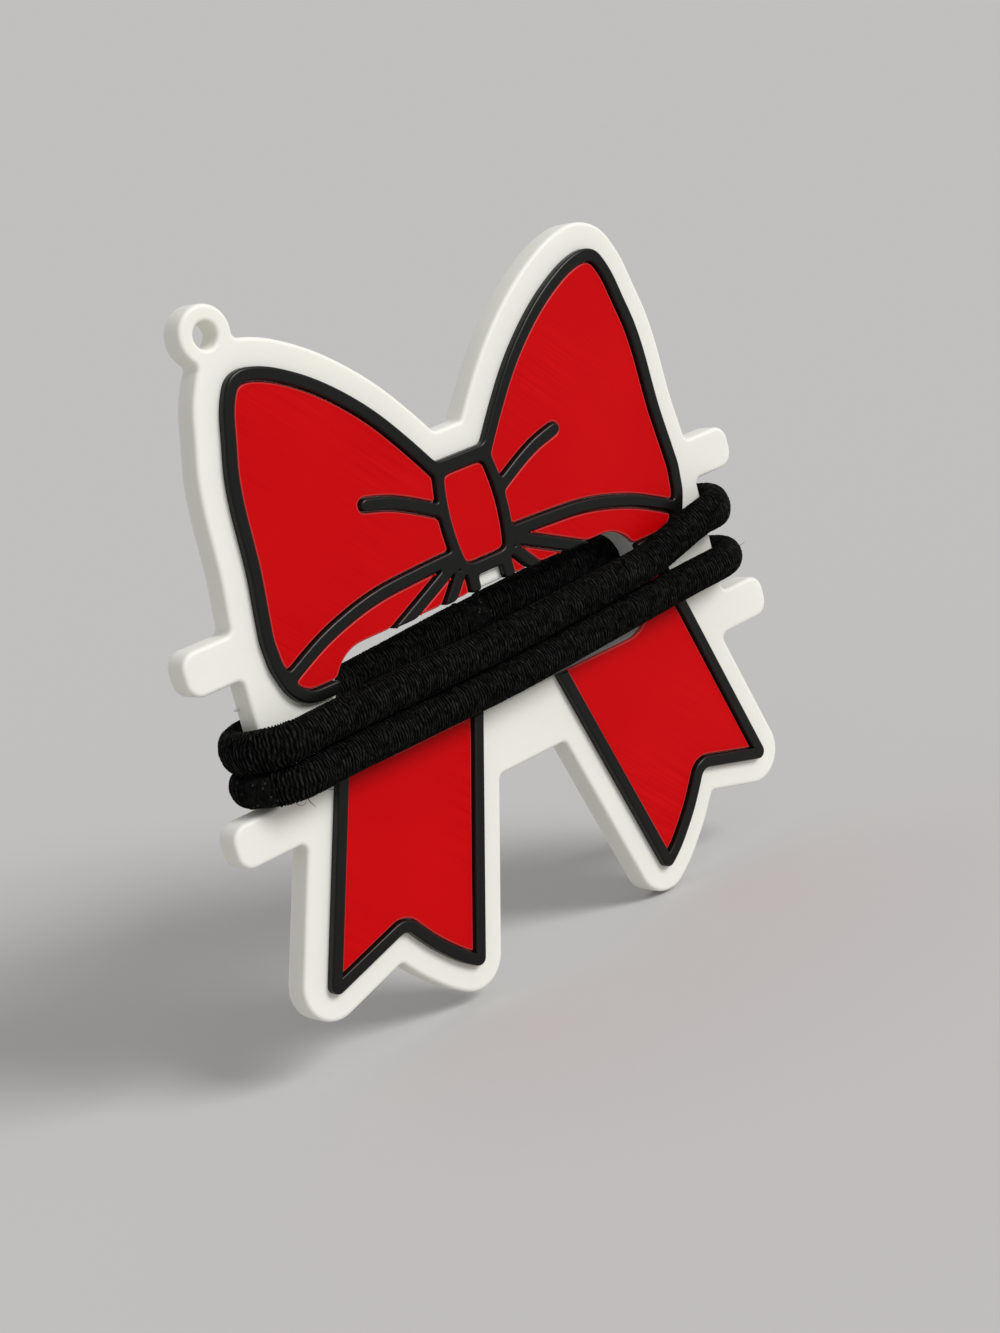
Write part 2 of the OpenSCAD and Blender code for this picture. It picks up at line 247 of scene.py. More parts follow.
class Finish(Graph):
    """A material with one Principled shader, and the places that its patterns read."""

    def __init__(self, name):
        self.material = bpy.data.materials.new(name)
        self.material.use_nodes = True
        super().__init__(self.material.node_tree)
        self.tree.nodes.clear()
        self.shader = self.node("ShaderNodeBsdfPrincipled")
        out = self.node("ShaderNodeOutputMaterial")
        self.tree.links.new(self.shader.outputs[0], out.inputs["Surface"])
        self.place = self.node("ShaderNodeTexCoord").outputs["Object"]
        apart = self.node("ShaderNodeSeparateXYZ", None, {0: self.place})
        self.x, self.y, self.z = (Value(self, apart.outputs[i]) for i in range(3))

    def facing_front(self, least=0.9):
        """1 on flat faces that look towards the front or the back, 0 on walls and on edges
        that turn away further than the least share."""
        normal = self.node("ShaderNodeNewGeometry").outputs["Normal"]
        apart = self.node("ShaderNodeSeparateXYZ", None, {0: normal})
        return Value(self, apart.outputs[1]).math("ABSOLUTE").ramp(least, 0.99)

    def noise(self, size, detail=2.0, stretch=(1.0, 1.0, 1.0), place=None):
        """A soft random pattern of a given grain, in metres."""
        moved = self.node(
            "ShaderNodeVectorMath",
            {"operation": "MULTIPLY"},
            {0: place or self.place, 1: tuple(s / size for s in stretch)},
        )
        return self.value(
            "ShaderNodeTexNoise", None, {"Vector": moved.outputs[0], "Scale": 1.0, "Detail": detail}
        )

    def attribute(self, name):
        """A number stored on the piece itself."""
        return self.value("ShaderNodeAttribute", {"attribute_name": name}, output="Fac")

    def set(self, **sockets):
        """Feeds the shader's sockets, named with _ for each space."""
        for name, value in sockets.items():
            self.feed(self.shader.inputs[name.replace("_", " ")], value)

    def bump(self, height, depth):
        """A relief of a depth in metres, from a height between 0 and 1."""
        made = self.node(
            "ShaderNodeBump", None, {"Strength": 1.0, "Distance": depth, "Height": height}
        )
        self.feed(self.shader.inputs["Normal"], made.outputs[0])


def rgba(colour):
    """A colour property as the four numbers a socket takes."""
    return (*colour, 1.0)


def shaded(colour, share, pale=0.0):
    """A colour made lighter or darker by a share, and paler by an amount."""
    return tuple(min(1.0, c * share + pale) for c in colour) + (1.0,)


def printed_plastic(name, colour, rim, plate):
    """Printed plastic as PLASTICS has it: layers up its walls, and on its flat faces slanting
    nozzle lines with worn patches. Its rounded front edges and walls take the rim colour, a
    painted highlight where that colour is lighter than the plastic's own."""
    kind = PLASTICS[name]
    marked = kind["marked"]
    raster = kind["spread"] * plate.raster
    f = Finish(name)
    flat = f.facing_front()
    grain = f.noise(0.18 * MM, detail=3.0)
    cloud = f.noise(14 * MM, detail=2.0)
    patches = f.noise(22 * MM, detail=1.0).ramp(0.42, 0.62)
    across = (f.x + f.z) / math.sqrt(2)
    along = (f.x - f.z) / math.sqrt(2)
    wobble = f.noise(6 * MM, detail=1.0) * 0.35
    lines = (across / raster + wobble).wave()
    drawn_out = f.node("ShaderNodeCombineXYZ", None, {0: across, 1: along * 0.03}).outputs[0]
    streaks = f.noise(raster, detail=2.0, place=drawn_out)
    layers = (f.y / plate.layer).wave()
    face_relief = lines * 0.6 + grain * 0.4
    wall_relief = layers * 0.5 + grain * 0.5
    # The streaks show in the patches, and a clearly marked plastic is less cloudy elsewhere
    wear = ((streaks - 0.5) * 1.8 + (lines - 0.5) * 0.25) * patches * flat * marked
    tone = cloud * (1.0 - 0.4 * marked) + wear + 0.2 * marked
    body = f.mixed(
        tone.clamped(),
        shaded(colour, 0.95 - 0.06 * marked),
        shaded(colour, 1.03 + 0.04 * marked, 0.002 * marked),
    )
    f.set(
        # Walls and rounded edges take the rim colour: on the red panels this is a painted highlight
        Base_Color=f.mixed(f.facing_front(0.95), rgba(rim), body),
        Roughness=cloud * 0.12 + grain * 0.1 + (kind["roughness"] - 0.1),
        Specular_IOR_Level=kind["gloss"],
    )
    f.bump(flat * face_relief + (1.0 - flat) * wall_relief, kind["depth"])
    return f


def braided_thread(name, colour, dotted):
    """Thread braided over elastic: dark between its ribs as painted shade, and lighter on its
    fibres and rib crests, partly their own tone and partly a painted sheen. A dotted one has
    the small bright dots of a fused joint."""
    f = Finish(name)
    rib = f.attribute("rib")
    along = f.attribute("along")
    unrolled = f.node("ShaderNodeCombineXYZ", None, {0: along, 1: f.y, 2: f.z}).outputs[0]
    fibres = f.noise(0.07 * MM, detail=3.0, stretch=(1.0, 0.12, 0.12), place=unrolled)
    tufts = f.noise(0.7 * MM, detail=3.0)
    # Fibres in tufts are lighter, partly their own tone and partly a painted sheen: on the ribs, or
    # at a joint less than its dots are
    light = fibres.ramp(0.34, 0.618) * tufts.ramp(0.25, 0.705)
    if dotted:
        to_dot = f.value(
            "ShaderNodeTexVoronoi",
            {"distance": "EUCLIDEAN"},
            {"Vector": f.place, "Scale": 1 / (0.75 * MM)},
        )
        dots = to_dot.ramp(0.2, 0.1375) * 1.6
        light = (light * 0.4).math("MAXIMUM", dots)
    else:
        # Painted shade in the grooves between the ribs, and painted sheen on their crests
        light = light * rib.ramp(0.25, 0.917)
    light = light.clamped()
    f.set(
        # Dark where shade is painted, up to 13 times the thread's colour on lighter fibres and
        # painted sheen
        Base_Color=f.mixed(light, shaded(colour, 0.35), shaded(colour, 13.0)),
        Roughness=0.9 - light * 0.35,
        Specular_IOR_Level=0.03,
    )
    f.bump(fibres * 0.6 + rib * 0.4, 0.07 * MM)
    return f.material


def loose_fibre(colour):
    """A loose fibre, a little lighter than the thread it came from."""
    f = Finish("loose_fibre")
    f.set(Base_Color=shaded(colour, 4.0), Roughness=0.6, Specular_IOR_Level=0.15)
    return f.material


def matt_floor(colour):
    """The plain floor, with hardly any gloss."""
    f = Finish("matt_floor")
    f.set(Base_Color=rgba(colour), Roughness=1.0, Specular_IOR_Level=0.0)
    return f.material


def back_loops(node, same=0.003 * MM, level=0.01 * MM):
    """The rims of a CAD node's flat back, each a ring of points with the plastic on the side
    that inward() gives. Points closer than same are one, and the back's points lie within
    level of it."""
    copy = bmesh.new()
    copy.from_mesh(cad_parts[node].data)
    bmesh.ops.remove_doubles(copy, verts=copy.verts, dist=same)
    back = max(v.co.y for v in copy.verts)
    cap = [f for f in copy.faces if all(abs(v.co.y - back) < level for v in f.verts)]
    inside = set(cap)
    follows = {}
    for face in cap:
        for loop in face.loops:
            if sum(f in inside for f in loop.edge.link_faces) == 1:
                follows[loop.vert] = loop.link_loop_next.vert
    rings = []
    while follows:
        start, at = follows.popitem()
        ring = [start.co.copy()]
        while at is not start:
            ring.append(at.co.copy())
            at = follows.pop(at)
        rings.append(ring)
    copy.free()
    return rings


def inward(before, after):
    """The direction into the plastic beside a stretch of rim seen on a back face."""
    run = (after - before).normalized()
    return Vector((run.z, 0, -run.x))


def moved_in(ring, depth, place, sharpest=0.4):
    """A rim drawn in by a depth, at a place along Y. The sharpest corners are drawn in less
    than their mitre would have them."""
    moved = []
    for i, point in enumerate(ring):
        first = inward(ring[i - 1], point)
        second = inward(point, ring[(i + 1) % len(ring)])
        mitre = (first + second) / max(sharpest, 1 + first.dot(second))
        moved.append(Vector((point.x, place, point.z)) + mitre * depth)
    return moved


def worn_round(ring, passes, spacing=0.15 * MM):
    """A rim with its sharp corners rounded, as a nozzle leaves them."""
    points = []
    for start, end in zip(ring, ring[1:] + ring[:1]):
        count = max(1, round((end - start).length / spacing))
        points += [start.lerp(end, i / count) for i in range(count)]
    for _ in range(passes):
        after = points[1:] + points[:1]
        before = points[-1:] + points[:-1]
        points = [(a + 2 * b + c) / 4 for a, b, c in zip(before, points, after)]
    return points


def rounded_over(front, back, radius, steps):
    """The side of a flat piece from its back to its rounded front edge: rows of how far in
    it is and its place along Y."""
    rows = [(0.0, back), (0.0, front + radius)]
    for k in range(1, steps + 1):
        turn = math.pi / 2 * k / steps
        rows.append((radius * (1 - math.cos(turn)), front + radius * (1 - math.sin(turn))))
    return rows


def shade_soft(piece, flat=0.999, crease=math.radians(35)):
    """Shades rounded edges smooth, and leaves flat faces and sharp edges crisp."""
    bmesh.ops.recalc_face_normals(piece, faces=piece.faces)
    for face in piece.faces:
        face.smooth = abs(face.normal.y) < flat
    for edge in piece.edges:
        if len(edge.link_faces) == 2 and edge.calc_face_angle() > crease:
            edge.smooth = False


def soft_edged(name, node, radius, material, steps=4, worn=0):
    """A flat CAD node made again from its back, with its front edge rounded over in steps and
    its corners worn round in a number of passes."""
    low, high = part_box(node)
    profile = rounded_over(low.y, high.y, radius, steps)
    piece = bmesh.new()
    ends = []
    for ring in back_loops(node):
        if worn:
            ring = worn_round(ring, worn)
        rows = [[piece.verts.new(p) for p in moved_in(ring, *row)] for row in profile]
        for below, above in zip(rows, rows[1:]):
            for i in range(len(ring)):
                j = (i + 1) % len(ring)
                piece.faces.new((below[i], below[j], above[j], above[i]))
        ends.append((rows[0], rows[-1]))
    piece.edges.index_update()
    for side in (0, 1):
        rim = [
            piece.edges.get((ring[i - 1], ring[i]))
            for ring in (end[side] for end in ends)
            for i in range(len(ring))
        ]
        for edge in rim:
            edge.smooth = False
        bmesh.ops.triangle_fill(piece, edges=rim, use_beauty=True)
    shade_soft(piece)
    return placed_piece(name, piece, material)


def placed_piece(name, shape, material):
    """A bmesh turned into an object at the origin."""
    mesh = bpy.data.meshes.new(name)
    shape.to_mesh(mesh)
    shape.free()
    mesh.materials.append(material)
    piece = bpy.data.objects.new(name, mesh)
    bpy.context.scene.collection.objects.link(piece)
    return piece


def dress(piece, body, slot, *nodes):
    """Hands a finished piece to the frame: its body and the nodes it stands for. Its finish, the
    slot, is not used.
    """
    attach(piece, body)
    if nodes:
        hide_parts(*nodes)


def ease(value, start, end):
    """A rise from 0 where a value is start to 1 where it is end, level at both."""
    u = max(0.0, min(1.0, (value - start) / (end - start)))
    return u * u * (3 - 2 * u)


class TieRoute:
    """The way round of one hair tie's middle line, close to its CAD solid but pulled tight
    round the waist's edges, as elastic is. It starts at the front's left end, runs along the
    front to the right, round the right end, back along the rear and round the left end."""

    def __init__(self, which):
        joint = sum(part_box(TIES[which]["bond"]), Vector()) / 2
        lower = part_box(TIES["lower"]["tie"])
        radius = TIE_D * MM / 2
        self.which = which
        self.middle = (lower[0].x + lower[1].x) / 2
        self.front = lower[0].y + radius + PRESSED_FRONT * MM
        self.rear = lower[1].y - radius - PRESSED_REAR * MM
        self.half = WAIST * MM - HUG * MM
        self.reach = (HUG + EDGE_GAP) * MM
        self.low_left = (SLOT_Z + LOW_LEFT) * MM
        self.high_left = self.low_left + (TIE_D + TIE_GAP) * MM
        self.high_right = (SLOT_Z + HIGH_RIGHT) * MM
        self.points = self.loop()
        self.runs = [0.0]
        for before, after in zip(self.points, self.points[1:]):
            self.runs.append(self.runs[-1] + (after - before).length)
        self.round = self.runs[-1]
        self.joint = min(zip(self.runs, self.points), key=lambda p: (p[1] - joint).length)[0]

    def height(self, x, behind):
        """Height at a distance from the bow's middle, and how far behind the front it is.
        Each ease() goes by the distance as a share of the straight part's half width."""
        share = x / self.half
        dip = DIP * MM * ease(share, -0.78, -1.12)
        low = self.low_left + LOW_RISE * MM * ease(share, -2 / 7, 8 / 7) - dip
        if self.which == "lower":
            return low
        rise = self.high_right - self.high_left
        lift = (rise - LOW_RISE * MM) * ease(share, 0.6, 1.05)
        front = low + (TIE_D + TIE_GAP) * MM + lift
        sag = SAG * MM * ease(share, -0.1, 0.4)
        rear = self.high_left + rise * (share + 1) / 2 - dip - sag
        return front + (rear - front) * behind

    def bend(self, side, count=60):
        """Points round one end, from the front to the rear, seen from above. The front half
        is round, the rear half blunter."""
        points = []
        for i in range(count + 1):
            turn = math.pi * i / count
            out, over = math.sin(turn), math.cos(turn)
            depth, blunt = (self.front, 1.0) if over > 0 else (self.rear, BLUNT_REAR)
            x = self.half + self.reach * out**blunt
            points.append((side * x, depth * abs(over) ** blunt))
        return points

    def loop(self, spacing=0.25 * MM):
        """The whole way round as a closed row of points."""
        count = round(2 * self.half / spacing)
        xs = [self.half * (2 * i / count - 1) for i in range(count)]
        plan = [(x, self.front) for x in xs] + self.bend(1)[:-1]
        plan += [(-x, self.rear) for x in xs] + self.bend(-1)[::-1]
        deep = self.rear - self.front
        return [
            Vector((self.middle + x, y, self.height(x, (y - self.front) / deep))) for x, y in plan
        ]

    def at(self, distance):
        """The point at a distance along the way round."""
        u = distance % self.round
        i = max(1, min(len(self.runs) - 1, bisect.bisect_left(self.runs, u)))
        start, end = self.runs[i - 1], self.runs[i]
        return self.points[i - 1].lerp(self.points[i], (u - start) / (end - start))

    def squash(self, point):
        """The cord's thickness at a point as a share of its full one: least round the ends."""
        past = abs(point.x - self.middle) - self.half
        along = THIN_FRONT if point.y < 0 else THIN_REAR
        return along + (THIN_ENDS - along) * ease(past, -0.35 * self.reach, 0.65 * self.reach)

    def line(self, name, start, end, spacing):
        """A line object along a stretch, with the cord's thickness stored on its points."""
        count = max(2, round((end - start) / spacing))
        points = [self.at(start + (end - start) * i / count) for i in range(count + 1)]
        mesh = bpy.data.meshes.new(name)
        mesh.from_pydata(points, [(i, i + 1) for i in range(count)], [])
        thick = mesh.attributes.new("squash", "FLOAT", "POINT")
        thick.data.foreach_set("value", [self.squash(p) for p in points])
        line = bpy.data.objects.new(name, mesh)
        bpy.context.scene.collection.objects.link(line)
        return line


class GeometryGraph(Graph):
    """A Geometry Nodes tree with named inputs, run once on a piece and then applied."""

    def __init__(self, name, **inputs):
        super().__init__(bpy.data.node_groups.new(name, "GeometryNodeTree"))
        kinds = {
            float: "NodeSocketFloat",
            int: "NodeSocketInt",
            bpy.types.Material: "NodeSocketMaterial",
            bpy.types.Object: "NodeSocketObject",
        }
        sockets = self.tree.interface
        sockets.new_socket("Geometry", in_out="INPUT", socket_type="NodeSocketGeometry")
        sockets.new_socket("Geometry", in_out="OUTPUT", socket_type="NodeSocketGeometry")
        self.given = inputs
        self.names = {}
        for name, value in inputs.items():
            kind = next(k for k in kinds if isinstance(value, k))
            made = sockets.new_socket(name, in_out="INPUT", socket_type=kinds[kind])
            self.names[name] = made.identifier
        self.entry = self.node("NodeGroupInput")
        self.exit = self.node("NodeGroupOutput")

    def input(self, name):
        """A named input of the tree, as a number or a socket."""
        return Value(self, self.entry.outputs[name])

    def stored(self, name, kind="FLOAT"):
        """A number or a vector stored on the geometry."""
        return self.value("GeometryNodeInputNamedAttribute", {"data_type": kind}, {"Name": name})

    def store(self, geometry, name, value, kind="FLOAT"):
        """The geometry with a number or a vector stored on its points."""
        made = self.node(
            "GeometryNodeStoreNamedAttribute",
            {"data_type": kind, "domain": "POINT"},
            {"Geometry": geometry, "Name": name, "Value": value},
        )
        return made.outputs["Geometry"]

    def close(self, geometry, material):
        """Ends the tree in real geometry with its material."""
        real = self.node("GeometryNodeRealizeInstances", None, {"Geometry": geometry})
        coated = self.node(
            "GeometryNodeSetMaterial", None, {"Geometry": real.outputs[0], "Material": material}
        )
        self.feed(self.exit.inputs[0], coated.outputs[0])

    def applied(self, name, source):
        """The tree's result on a source object, as a plain mesh object."""
        modifier = source.modifiers.new(name, "NODES")
        modifier.node_group = self.tree
        for given, value in self.given.items():
            modifier[self.names[given]] = value
        bpy.context.view_layer.update()
        evaluated = source.evaluated_get(bpy.context.evaluated_depsgraph_get())
        mesh = bpy.data.meshes.new_from_object(evaluated)
        mesh.name = name
        bpy.data.objects.remove(source)
        piece = bpy.data.objects.new(name, mesh)
        bpy.context.scene.collection.objects.link(piece)
        return piece


def swept_cord(name, **settings):
    """A tree that sweeps a cord along a line. Its ribs wind round it, a groove and a lip ring
    each of its ends, it is pressed thinner where the line says so, and it swells upright by a
    share of that."""
    g = GeometryGraph(name, **settings)
    line = g.node("GeometryNodeMeshToCurve", None, {"Mesh": g.entry.outputs["Geometry"]})
    fine = g.node(
        "GeometryNodeResampleCurve",
        {"mode": "LENGTH"},
        {"Curve": line.outputs[0], "Length": g.input("Spacing")},
    )
    level = g.node("GeometryNodeSetCurveNormal", {"mode": "Z_UP"}, {"Curve": fine.outputs[0]})
    way = g.node("GeometryNodeSplineParameter")
    run = g.store(level.outputs[0], "along", Value(g, way.outputs["Length"]))
    run = g.store(run, "share", Value(g, way.outputs["Factor"]))
    run = g.store(run, "core", g.node("GeometryNodeInputPosition").outputs[0], "FLOAT_VECTOR")
    run = g.store(run, "outward", g.node("GeometryNodeInputNormal").outputs[0], "FLOAT_VECTOR")
    ring = g.node(
        "GeometryNodeCurvePrimitiveCircle",
        {"mode": "RADIUS"},
        {"Resolution": g.input("Sides"), "Radius": g.input("Radius")},
    )
    around = g.node("GeometryNodeSplineParameter")
    profile = g.store(ring.outputs[0], "around", Value(g, around.outputs["Factor"]))
    tube = g.node(
        "GeometryNodeCurveToMesh",
        None,
        {"Curve": run, "Profile Curve": profile, "Fill Caps": True},
    )
    rib, wander = braid(g)
    # The highest ribs come a little past the radius, and the valleys lie below it
    rise = (rib + wander * 0.5 - 1.05) * g.input("Rib_height") + end_lip(g)
    normal = g.node("GeometryNodeInputNormal").outputs[0]
    raised = g.node("ShaderNodeVectorMath", {"operation": "SCALE"}, {0: normal, "Scale": rise})
    ribbed = g.node(
        "GeometryNodeSetPosition",
        None,
        {"Geometry": tube.outputs[0], "Offset": raised.outputs[0]},
    )
    pressed = g.node(
        "GeometryNodeSetPosition",
        None,
        {"Geometry": ribbed.outputs[0], "Offset": pressed_in(g)},
    )
    marked = g.store(pressed.outputs[0], "rib", rib)
    smooth = g.node("GeometryNodeSetShadeSmooth", None, {"Geometry": marked})
    g.close(smooth.outputs[0], g.entry.outputs["Material"])
    return g


def braid(g, shift=3.2, crossing=0.12, slow=0.3, busy=1.4):
    """The height of a cord's ribs, from 0 to 1, and the noise that shifts them by up to a
    number of ribs, slow along the cord and busy round it. A share of them crosses the rest."""
    step = g.stored("along") / g.input("Rib_pitch")
    turned = g.stored("around")
    place = g.node(
        "ShaderNodeCombineXYZ",
        None,
        {
            0: step * slow,
            1: (turned * math.tau).math("SINE") * busy,
            2: (turned * math.tau).math("COSINE") * busy,
        },
    ).outputs[0]
    wander = g.value(
        "ShaderNodeTexNoise",
        {"noise_dimensions": "4D"},
        {"Vector": place, "W": g.input("Seed") * 7.3, "Scale": 1.0, "Detail": 2.0},
    )
    wound = step + turned * g.input("Slant") + wander * shift
    crossed = step - turned * g.input("Slant") + wander * shift
    return wound.wave() * (1.0 - crossing) + crossed.wave() * crossing, wander


def end_lip(g, steps=8.0):
    """The height of the groove right at each end of a cord and of the lip a step in from it.
    Half the cord takes a number of steps."""
    end = (1.0 - (g.stored("share") - 0.5).math("ABSOLUTE") * 2.0) * steps
    return (end * math.pi).math("COSINE") * (2.0 - end).clamped() * -g.input("Lip")


def pressed_in(g):
    """The offset that presses a cord thinner sideways and lets it swell upright."""
    squash = g.stored("squash")
    core = g.stored("core", "FLOAT_VECTOR").socket
    outward = g.stored("outward", "FLOAT_VECTOR").socket
    place = g.node("GeometryNodeInputPosition").outputs[0]
    away = g.node("ShaderNodeVectorMath", {"operation": "SUBTRACT"}, {0: place, 1: core})
    side = g.node(
        "ShaderNodeVectorMath", {"operation": "DOT_PRODUCT"}, {0: away.outputs[0], 1: outward}
    )
    sideways = (squash - 1.0) * Value(g, side.outputs["Value"])
    thinned = g.node(
        "ShaderNodeVectorMath", {"operation": "SCALE"}, {0: outward, "Scale": sideways}
    )
    upright = g.node("ShaderNodeSeparateXYZ", None, {0: away.outputs[0]}).outputs[2]
    swell = (1.0 - squash) * g.input("Swell") * Value(g, upright)
    return g.node(
        "ShaderNodeVectorMath",
        {"operation": "ADD"},
        {0: thinned.outputs[0], 1: g.node("ShaderNodeCombineXYZ", None, {2: swell}).outputs[0]},
    ).outputs[0]


def thread_along(shape, points, thickness, taper=0.6):
    """Adds a thin thread along a row of points, tapering by a share to its tip."""
    beside = Vector((0.1, 1.0, 0.15))
    rows = []
    for i, point in enumerate(points):
        way = (points[min(i + 1, len(points) - 1)] - points[max(i - 1, 0)]).normalized()
        first = way.cross(beside).normalized()
        second = way.cross(first)
        radius = thickness / 2 * (1 - taper * i / (len(points) - 1))
        row = []
        for k in range(THREAD_SIDES):
            turn = k * math.tau / THREAD_SIDES
            out = first * math.cos(turn) + second * math.sin(turn)
            row.append(shape.verts.new(point + out * radius))
        rows.append(row)
    for below, above in zip(rows, rows[1:]):
        for k in range(THREAD_SIDES):
            j = (k + 1) % THREAD_SIDES
            shape.faces.new((below[k], below[j], above[j], above[k]))
    shape.faces.new(reversed(rows[0]))
    shape.faces.new(rows[-1])


def fibre_shape(length, thickness, bends=4, lean=0.35, sway=0.12):
    """One loose fibre, which leans over to one side and sways to the other."""
    shape = bmesh.new()
    shares = [i / bends for i in range(bends + 1)]
    points = [length * Vector((lean * t * t, sway * math.sin(3 * t), t)) for t in shares]
    thread_along(shape, points, thickness)
    bmesh.ops.recalc_face_normals(shape, faces=shape.faces)
    return shape


def stray_threads(which, route, root=0.15, near=0.2, drift=0.02, steps=12):
    """The longer loose threads of one tie. Each starts a root's depth in the cord, whose way
    is taken from the points near it, and drifts aside at each step, all in millimetres."""
    shape = bmesh.new()
    up = Vector((0, 0, 1))
    for tie, place, turn, length, thickness, curl in STRAYS:
        if tie != which:
            continue
        along = (route.at((place + near) * MM) - route.at((place - near) * MM)).normalized()
        aside = along.cross(up)
        turn = math.radians(turn)
        away = aside * math.cos(turn) + up * math.sin(turn)
        at = route.at(place * MM) + away * (TIE_D / 2 - root) * MM
        points = [at.copy()]
        for i in range(steps):
            lean = math.radians(curl) * (i + 0.5) / steps
            at += (away * math.cos(lean) + along * math.sin(lean)) * length * MM / steps
            at += aside * drift * MM
            points.append(at.copy())
        thread_along(shape, points, thickness * MM)
    bmesh.ops.recalc_face_normals(shape, faces=shape.faces)
    return shape


def plastic_beads(taper=0.45):
    """The small beads of plastic on the plate's rear edges, drawn out to a tip."""
    shape = bmesh.new()
    for middle, halves in BEADS:
        made = bmesh.ops.create_icosphere(shape, subdivisions=3, radius=1.0)["verts"]
        for vert in made:
            slim = 1.0 - taper * max(0.0, -vert.co.x)
            drawn = (vert.co.x, vert.co.y * slim, vert.co.z * slim)
            vert.co = Vector((c * h + m for c, h, m in zip(drawn, halves, middle))) * MM
    for face in shape.faces:
        face.smooth = True
    return shape


def scattered_fibres(name, **settings):
    """A tree that stands loose fibres of many lengths on a piece, leaning every way."""
    most = (1.1, 1.1, 3.1)  # how far a fibre may lean to two sides and turn, in radians
    g = GeometryGraph(name, **settings)
    spots = g.node(
        "GeometryNodeDistributePointsOnFaces",
        {"distribute_method": "RANDOM"},
        {
            "Mesh": g.entry.outputs["Geometry"],
            "Density": g.input("Density"),
            "Seed": g.input("Seed"),
        },
    )
    lean = g.node(
        "FunctionNodeRandomValue",
        {"data_type": "FLOAT_VECTOR"},
        {0: tuple(-turn for turn in most), 1: most, "Seed": g.input("Seed")},
    )
    grown = g.node(
        "FunctionNodeRandomValue",
        {"data_type": "FLOAT"},
        {2: 0.35, 3: 1.0, "Seed": g.input("Seed")},
    )
    turned = g.node(
        "FunctionNodeRotateRotation",
        {"rotation_space": "LOCAL"},
        {0: spots.outputs["Rotation"], 1: lean.outputs[0]},
    )
    source = g.node("GeometryNodeObjectInfo", None, {"Object": g.entry.outputs["Fibre"]})
    stand = g.node(
        "GeometryNodeInstanceOnPoints",
        None,
        {
            "Points": spots.outputs["Points"],
            "Instance": source.outputs["Geometry"],
            "Rotation": turned.outputs[0],
            "Scale": Value(g, grown.outputs[1]) * g.input("Size"),
        },
    )
    g.close(stand.outputs[0], g.entry.outputs["Material"])
    return g


def braid_piece(which, route, look, thread, seed, tucked=0.03 * MM, spacing=0.25 * MM):
    """The braid of one tie, from one side of its joint round to the other, with its ends
    tucked into the joint."""
    half = JOINT_L * MM / 2 - tucked
    start, end = route.joint + half, route.joint + route.round - half
    line = route.line(which + "_line", start, end, spacing)
    tree = swept_cord(
        which + "_braid",
        Radius=TIE_D * MM / 2,
        Spacing=look.pitch / 5,
        Sides=32,
        Rib_height=look.height,
        Rib_pitch=look.pitch,
        Slant=4.0,
        Swell=TIES[which]["swell"],
        Lip=0.0,
        Seed=seed,
        Material=thread,
    )
    return tree.applied(which + "_braid", line)


def joint_piece(which, route, look, fused, seed, slimmer=0.1 * MM, spacing=0.1 * MM):
    """The fused joint of one tie, which is slimmer and smoother than its braid."""
    half = JOINT_L * MM / 2
    line = route.line(which + "_line", route.joint - half, route.joint + half, spacing)
    tree = swept_cord(
        which + "_joint",
        Radius=TIE_D * MM / 2 - slimmer,
        Spacing=0.06 * MM,
        Sides=48,
        Rib_height=look.height * 0.3,
        Rib_pitch=look.pitch * 0.8,
        Slant=3.0,
        Swell=TIES[which]["swell"],
        Lip=0.16 * MM,
        Seed=seed,
        Material=fused,
    )
    return tree.applied(which + "_joint", line)


def fibres_piece(which, tie, look, fibre, loose, seed):
    """The short loose fibres all over one tie's braid."""
    copy = tie.copy()
    copy.data = tie.data.copy()
    bpy.context.scene.collection.objects.link(copy)
    tree = scattered_fibres(
        which + "_fibres",
        Fibre=fibre,
        Density=look.fibres,
        Size=look.fibre_length,
        Seed=seed,
        Material=loose,
    )
    return tree.applied(which + "_fibres", copy)


def relief(nodes, edge, worn, slot, material, steps=4):
    """The raised pieces of one plastic. The bow's corners are worn round, the tails' aren't."""
    for node in nodes:
        passes = 0 if "tail" in node else worn
        piece = soft_edged(node + "_soft", node, edge, material, steps, passes)
        dress(piece, "holder", slot, node)


class PlateLook(bpy.types.PropertyGroup):
    """Sizes and colour of the white plate."""

    edge: bpy.props.FloatProperty(
        name="Front edge",
        description="Rounding of the front edge",
        default=0.45 * MM,
        unit="LENGTH",
    )
    colour: bpy.props.FloatVectorProperty(
        name="Colour",
        description="Colour of the plate",
        default=(0.81, 0.80, 0.735),
        subtype="COLOR",
    )
    raster: bpy.props.FloatProperty(
        name="Line width", description="Width of a printed line", default=0.42 * MM, unit="LENGTH"
    )
    layer: bpy.props.FloatProperty(
        name="Layer", description="Thickness of a printed layer", default=0.2 * MM, unit="LENGTH"
    )


class ReliefLook(bpy.types.PropertyGroup):
    """Sizes and colours of the black lines and red panels."""

    line_edge: bpy.props.FloatProperty(
        name="Line edge",
        description="Rounding of the black lines",
        default=0.28 * MM,
        unit="LENGTH",
    )
    panel_edge: bpy.props.FloatProperty(
        name="Panel edge",
        description="Rounding of the red panels",
        default=0.25 * MM,
        unit="LENGTH",
    )
    worn: bpy.props.IntProperty(
        name="Corner rounding", description="Passes that round the bow's corners", default=14
    )
    black: bpy.props.FloatVectorProperty(
        name="Black",
        description="Colour of the lines",
        default=(0.0034, 0.0034, 0.0029),
        subtype="COLOR",
    )
    red: bpy.props.FloatVectorProperty(
        name="Red",
        description="Colour of the panels",
        default=(0.545, 0.0003, 0.0020),
        subtype="COLOR",
    )
    # A lighter red for the panels' rounded edges: a painted highlight of the light their bevels
    # catch
    rim: bpy.props.FloatVectorProperty(
        name="Red rim",
        description="Colour of the panels' edges",
        default=(0.66, 0.05, 0.05),
        subtype="COLOR",
    )


